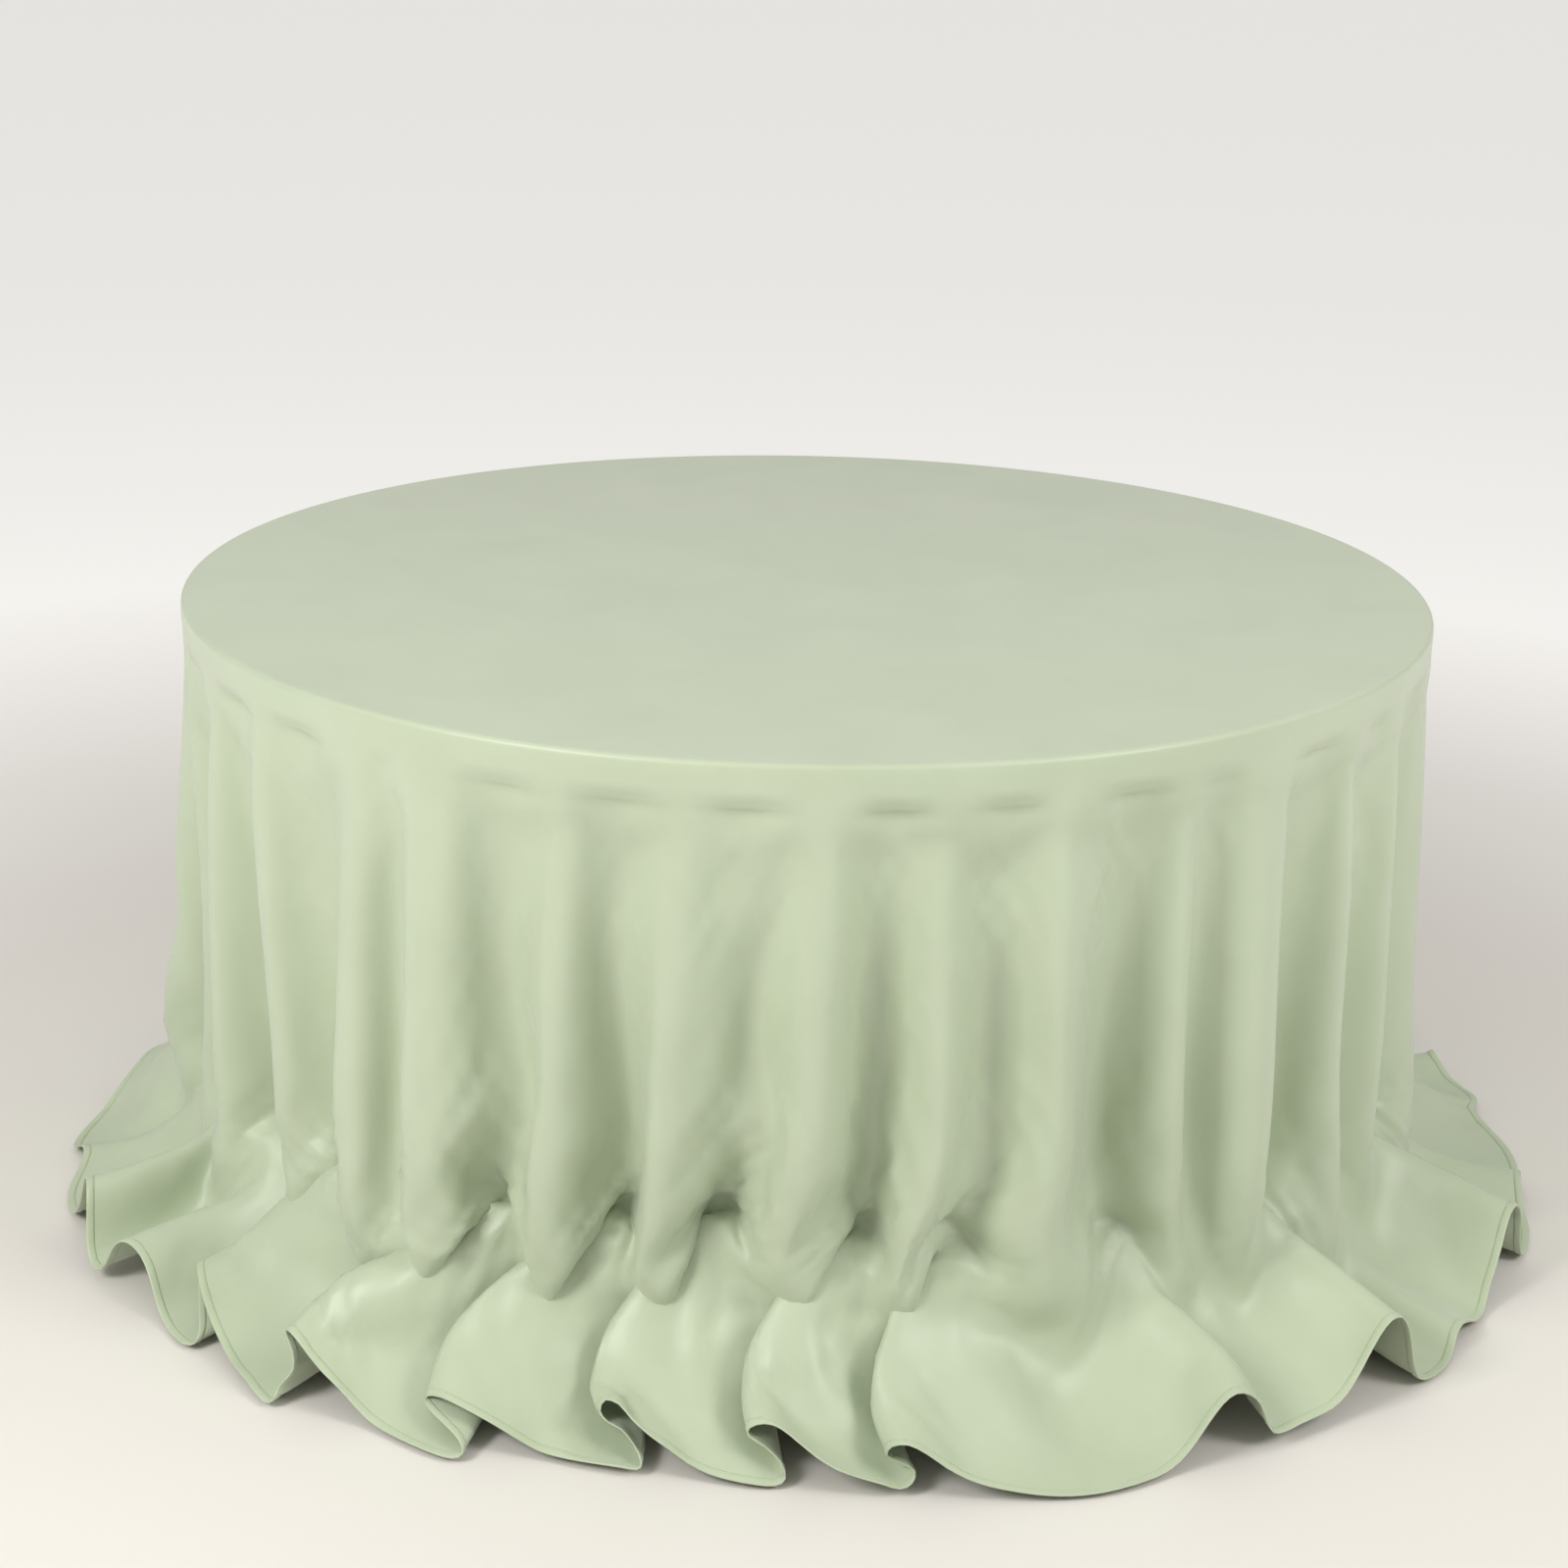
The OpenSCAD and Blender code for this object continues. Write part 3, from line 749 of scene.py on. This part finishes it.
def label_strip(depth):
    """The tape's middle line and edges, a set depth below the cloth's underside."""
    rows = []
    reach = np.cumsum(np.linalg.norm(np.diff(sheet[::-1, label_column], axis=0), axis=1))
    reach = np.concatenate([[0], reach])
    for inset in np.linspace(0.004, label_length, label_rows):
        row = int(np.searchsorted(reach, inset))
        part = (inset - reach[row - 1]) / (reach[row] - reach[row - 1])
        here = sheet[-row, label_column] * (1 - part) + sheet[-1 - row, label_column] * part
        run = along_edge[label_column]
        down = -face_side[label_column]
        for across in np.linspace(-0.5, 0.5, label_across):
            rows.append(here + run * across * label_width + down * depth * (1 - 1.2 * across ** 2))
    return np.array(rows)


label_points = np.concatenate([label_strip(label_face_depth), label_strip(label_back_depth)])
label_points[:, 2] = np.maximum(label_points[:, 2], label_off_floor)
label_faces = []
for layer, flip in ((0, False), (label_grid, True)):
    for row in range(label_rows - 1):
        for k in range(label_across - 1):
            a = layer + row * label_across + k
            quad = (a, a + 1, a + label_across + 1, a + label_across)
            label_faces.append(quad[::-1] if flip else quad)
last_row, last_across = label_rows - 1, label_across - 1
rim = list(range(label_across))
rim += [label_across * row + last_across for row in range(1, label_rows)]
rim += [label_across * last_row + k for k in range(last_across - 1, -1, -1)]
rim += [label_across * row for row in range(last_row - 1, 0, -1)]
for k, a in enumerate(rim):
    b = rim[(k + 1) % len(rim)]
    label_faces.append((b, a, a + label_grid, b + label_grid))
label = soft_piece("care_tape", label_points, label_faces, label_points[:, :2].copy())
point_outwards(label)
label_tape = cloth_finish("label_tape", (0.70, 0.70, 0.66), (0.82, 0.82, 0.78), 0.4, 0.4, 0.4)
label.data.materials.append(label_tape)
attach(label, "cloth")
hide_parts("care_label")


# Plywood top and its hardwood rim: a 19 mm sheet of birch ply with a ring of eight solid
# segments glued under its edge, clear lacquered.


def grain_effect():
    """Straight wood grain along one axis: rings stretched long, with fine pores."""
    group, entry, end = new_effect(
        "straight_grain",
        [("Vector", "NodeSocketVector", (0.0, 0.0, 0.0)), ("Lines", "NodeSocketFloat", 60.0)],
        [("Grain", "NodeSocketFloat"), ("Height", "NodeSocketFloat")],
    )
    figure = group.nodes.new("ShaderNodeTexNoise")
    figure.inputs["Detail"].default_value = 4.0
    figure.inputs["Distortion"].default_value = 0.7
    group.links.new(entry.outputs["Vector"], figure.inputs["Vector"])
    group.links.new(math_node(group, "MULTIPLY", entry.outputs["Lines"], 0.12), figure.inputs["Scale"])
    pores = group.nodes.new("ShaderNodeTexNoise")
    pores.inputs["Detail"].default_value = 2.0
    group.links.new(entry.outputs["Vector"], pores.inputs["Vector"])
    group.links.new(entry.outputs["Lines"], pores.inputs["Scale"])
    rings = math_node(group, "MULTIPLY", figure.outputs["Fac"], 22.0)
    rings = math_node(group, "SINE", rings, 0.0)
    rings = math_node(group, "MULTIPLY", rings, 0.22)
    fine = math_node(group, "MULTIPLY", pores.outputs["Fac"], 0.6)
    mixed = math_node(group, "ADD", math_node(group, "ADD", rings, fine), 0.2)
    group.links.new(mixed, end.inputs["Grain"])
    group.links.new(fine, end.inputs["Height"])
    return group


straight_grain = grain_effect()


def wood_finish(name, dark, light, stretch, lines, rough):
    """Clear-finished wood; stretch squeezes the pattern so that the grain runs along one axis."""
    finish = bpy.data.materials.new(name)
    finish.use_nodes = True
    tree = finish.node_tree
    shader = tree.nodes["Principled BSDF"]
    shader.inputs["Coat Roughness"].default_value = 0.3
    place = tree.nodes.new("ShaderNodeTexCoord")
    turn = tree.nodes.new("ShaderNodeMapping")
    turn.inputs["Scale"].default_value = stretch
    effect = tree.nodes.new("ShaderNodeGroup")
    effect.node_tree = straight_grain
    effect.inputs["Lines"].default_value = lines
    tree.links.new(place.outputs["Object"], turn.inputs["Vector"])
    tree.links.new(turn.outputs["Vector"], effect.inputs["Vector"])
    tone = tree.nodes.new("ShaderNodeValToRGB")
    tone.color_ramp.elements[0].position = 0.2
    tone.color_ramp.elements[0].color = (*dark, 1)
    tone.color_ramp.elements[1].position = 0.8
    tone.color_ramp.elements[1].color = (*light, 1)
    tree.links.new(effect.outputs["Grain"], tone.inputs["Fac"])
    tree.links.new(tone.outputs["Color"], shader.inputs["Base Color"])
    gloss = tree.nodes.new("ShaderNodeMapRange")
    gloss.inputs["To Min"].default_value = rough
    gloss.inputs["To Max"].default_value = rough + 0.15
    tree.links.new(effect.outputs["Grain"], gloss.inputs["Value"])
    tree.links.new(gloss.outputs["Result"], shader.inputs["Roughness"])
    relief = tree.nodes.new("ShaderNodeBump")
    relief.inputs["Strength"].default_value = 0.3
    relief.inputs["Distance"].default_value = 0.0004
    tree.links.new(effect.outputs["Height"], relief.inputs["Height"])
    tree.links.new(relief.outputs["Normal"], shader.inputs["Normal"])
    return finish


def finish_node(name, material):
    """Gives a CAD node its detailed material in place of the plain one."""
    slots = nodes[name].material_slots
    if slots:
        slots[0].material = material
    else:
        nodes[name].data.materials.append(material)


finish_node("plywood_top", wood_finish(
    "plywood", (0.42, 0.27, 0.14), (0.66, 0.49, 0.30), (1.0, 9.0, 9.0), 55.0, 0.38,
))
finish_node("rim_segments", wood_finish(
    "hardwood", (0.30, 0.17, 0.08), (0.52, 0.34, 0.18), (4.0, 4.0, 12.0), 60.0, 0.35,
))


# Riser blocks: raw softwood packers that set frame B a tube and a half lower than frame A,
# so that the two frames fold flat over each other.

finish_node("riser_blocks", wood_finish(
    "block_wood", (0.45, 0.31, 0.17), (0.68, 0.52, 0.33), (10.0, 1.0, 10.0), 45.0, 0.6,
))


# Edge band: a black vinyl moulding pressed round the top, dull, scuffed where cloths and
# doorways rub it.


def scuff_effect():
    """Scattered rubbed patches and a fine moulded or sprayed texture."""
    group, entry, end = new_effect(
        "handling_scuffs",
        [("Patch scale", "NodeSocketFloat", 9.0), ("Texture scale", "NodeSocketFloat", 700.0)],
        [("Mask", "NodeSocketFloat"), ("Height", "NodeSocketFloat")],
    )
    place = group.nodes.new("ShaderNodeTexCoord")
    patch = group.nodes.new("ShaderNodeTexNoise")
    patch.inputs["Detail"].default_value = 6.0
    patch.inputs["Roughness"].default_value = 0.65
    group.links.new(place.outputs["Object"], patch.inputs["Vector"])
    group.links.new(entry.outputs["Patch scale"], patch.inputs["Scale"])
    shaped = group.nodes.new("ShaderNodeMapRange")
    shaped.inputs["From Min"].default_value = 0.52
    shaped.inputs["From Max"].default_value = 0.72
    group.links.new(patch.outputs["Fac"], shaped.inputs["Value"])
    texture = group.nodes.new("ShaderNodeTexNoise")
    texture.inputs["Detail"].default_value = 1.0
    group.links.new(place.outputs["Object"], texture.inputs["Vector"])
    group.links.new(entry.outputs["Texture scale"], texture.inputs["Scale"])
    group.links.new(shaped.outputs["Result"], end.inputs["Mask"])
    group.links.new(texture.outputs["Fac"], end.inputs["Height"])
    return group


handling_scuffs = scuff_effect()


def scuffed_finish(name, clean, rubbed, metallic, rough, patch_scale, texture_scale, relief_depth):
    """A plain-coloured plastic, rubber, paint or plated metal with rubbed patches and texture."""
    finish = bpy.data.materials.new(name)
    finish.use_nodes = True
    tree = finish.node_tree
    shader = tree.nodes["Principled BSDF"]
    shader.inputs["Metallic"].default_value = metallic
    effect = tree.nodes.new("ShaderNodeGroup")
    effect.node_tree = handling_scuffs
    effect.inputs["Patch scale"].default_value = patch_scale
    effect.inputs["Texture scale"].default_value = texture_scale
    tone = tree.nodes.new("ShaderNodeValToRGB")
    tone.color_ramp.elements[0].color = (*clean, 1)
    tone.color_ramp.elements[1].color = (*rubbed, 1)
    tree.links.new(effect.outputs["Mask"], tone.inputs["Fac"])
    tree.links.new(tone.outputs["Color"], shader.inputs["Base Color"])
    gloss = tree.nodes.new("ShaderNodeMapRange")
    gloss.inputs["To Min"].default_value = rough
    gloss.inputs["To Max"].default_value = rough + 0.2
    tree.links.new(effect.outputs["Mask"], gloss.inputs["Value"])
    tree.links.new(gloss.outputs["Result"], shader.inputs["Roughness"])
    relief = tree.nodes.new("ShaderNodeBump")
    relief.inputs["Strength"].default_value = 0.4
    relief.inputs["Distance"].default_value = relief_depth
    tree.links.new(effect.outputs["Height"], relief.inputs["Height"])
    tree.links.new(relief.outputs["Normal"], shader.inputs["Normal"])
    return finish


finish_node("edge_band", scuffed_finish(
    "edge_band", (0.035, 0.035, 0.038), (0.11, 0.11, 0.115), 0.0, 0.5, 8.0, 500.0, 0.0004,
))


# Brackets, catches and stays: 4 to 6 mm steel, sheared, drilled and bent, bright zinc plated
# and dulled by handling. They are screwed up under the top.

zinc_plate = scuffed_finish(
    "zinc_plate", (0.56, 0.57, 0.58), (0.38, 0.38, 0.37), 1.0, 0.32, 22.0, 260.0, 0.0003,
)
for bracket in (
    "pivot_brackets_a", "pivot_brackets_b", "stay_catch_a", "stay_catch_b", "stay_a", "stay_b",
):
    finish_node(bracket, zinc_plate)


# Screws and stay pins: turned and rolled steel, brighter and smoother than the plates.

screw_steel = scuffed_finish(
    "screw_steel", (0.68, 0.68, 0.67), (0.45, 0.44, 0.42), 1.0, 0.24, 60.0, 900.0, 0.0001,
)
for fixing in (
    "bracket_screws_a", "bracket_screws_b", "catch_screws", "stay_pin_a", "stay_pin_b",
):
    finish_node(fixing, screw_steel)


# Leg frames: two welded frames of 25.4 mm steel tube in a textured dark grey powder coat,
# rubbed paler where they are gripped.

frame_paint = scuffed_finish(
    "frame_paint", (0.045, 0.050, 0.056), (0.12, 0.125, 0.13), 0.0, 0.48, 6.0, 900.0, 0.0008,
)
for tube in (
    "pivot_tube_a", "pivot_tube_b", "leg_a_left", "leg_a_right", "leg_b_left", "leg_b_right",
    "crossbar_a", "crossbar_b",
):
    finish_node(tube, frame_paint)


# Foot caps: black rubber pushed over the tube ends, dusty from the floor.
# The plugs that close the pivot tubes are harder, glossier black plastic.

foot_rubber = scuffed_finish(
    "foot_rubber", (0.022, 0.022, 0.022), (0.13, 0.125, 0.12), 0.0, 0.72, 35.0, 400.0, 0.0006,
)
plug_plastic = scuffed_finish(
    "plug_plastic", (0.028, 0.028, 0.030), (0.07, 0.07, 0.07), 0.0, 0.36, 30.0, 600.0, 0.0002,
)
finish_node("foot_caps_a", foot_rubber)
finish_node("foot_caps_b", foot_rubber)
finish_node("tube_plugs_a", plug_plastic)
finish_node("tube_plugs_b", plug_plastic)

bpy.context.view_layer.update()
